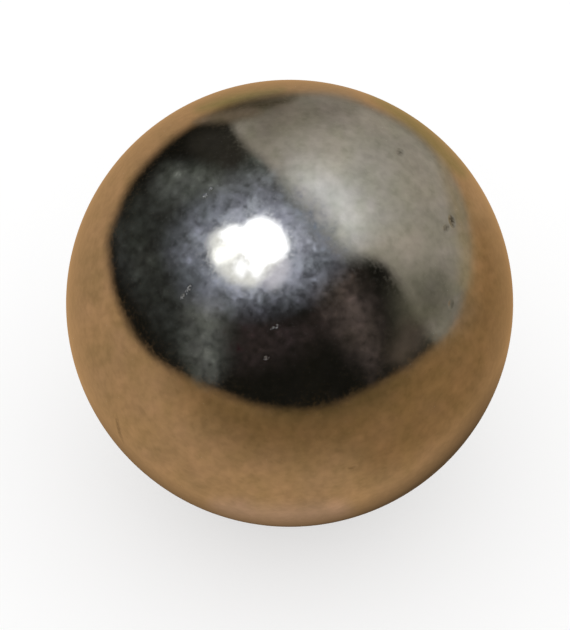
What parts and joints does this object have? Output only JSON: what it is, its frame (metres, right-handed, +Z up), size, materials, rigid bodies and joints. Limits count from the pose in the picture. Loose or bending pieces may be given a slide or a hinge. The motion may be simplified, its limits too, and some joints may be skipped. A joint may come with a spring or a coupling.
{
  "type": "steel ball",
  "caption": "Solid polished steel ball, a plain sphere with a mirror finish, fine scratches and a few small pits, for bearings, checks and bench use.",
  "frame": {"origin": "centre of the ball", "axes": "+Z up through the ball's top; a ball is the same about every axis, so +X and +Y are free choices"},
  "size_m": [0.0254, 0.0254, 0.0254],
  "materials": {
    "polished_steel": "mirror polish, with fine hairline scratches, faint haze and a few small pits"
  },
  "bodies": {
    "root": {"ball": "polished_steel"}
  },
  "joints": []
}
